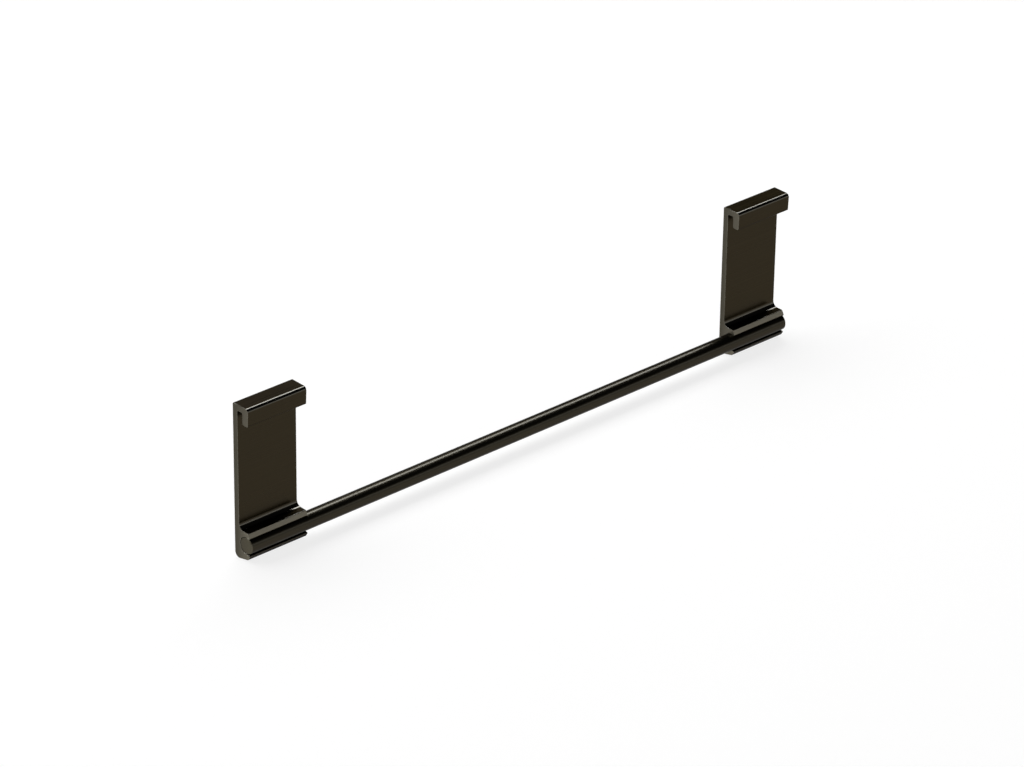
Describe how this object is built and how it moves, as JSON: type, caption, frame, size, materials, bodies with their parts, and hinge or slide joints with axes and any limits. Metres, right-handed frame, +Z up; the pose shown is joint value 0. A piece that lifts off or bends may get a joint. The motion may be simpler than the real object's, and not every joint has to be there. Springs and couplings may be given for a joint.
{
  "type": "towel rail",
  "caption": "Hook-on towel rail: a round rod held in the open channels of flat extruded brackets, whose tops hook over the lip of a wall rail.",
  "frame": {"origin": "mid-length of the part, on the hooks' seats, at the middle of the hook slots' width: where the top edge of a wall rail's lip carries the part", "axes": "+X along the rod, +Z up, -Y towards the side where the hooks open and the rod stands proud, which is the side that the picture shows"},
  "size_m": [0.4, 0.0144, 0.0927],
  "materials": {
    "bracket_metal": "dark bronze satin anodised",
    "rod_metal": "dark bronze satin anodised"
  },
  "bodies": {
    "root": {"left_bracket": "bracket_metal", "right_bracket": "bracket_metal", "rod": "rod_metal"}
  },
  "joints": []
}
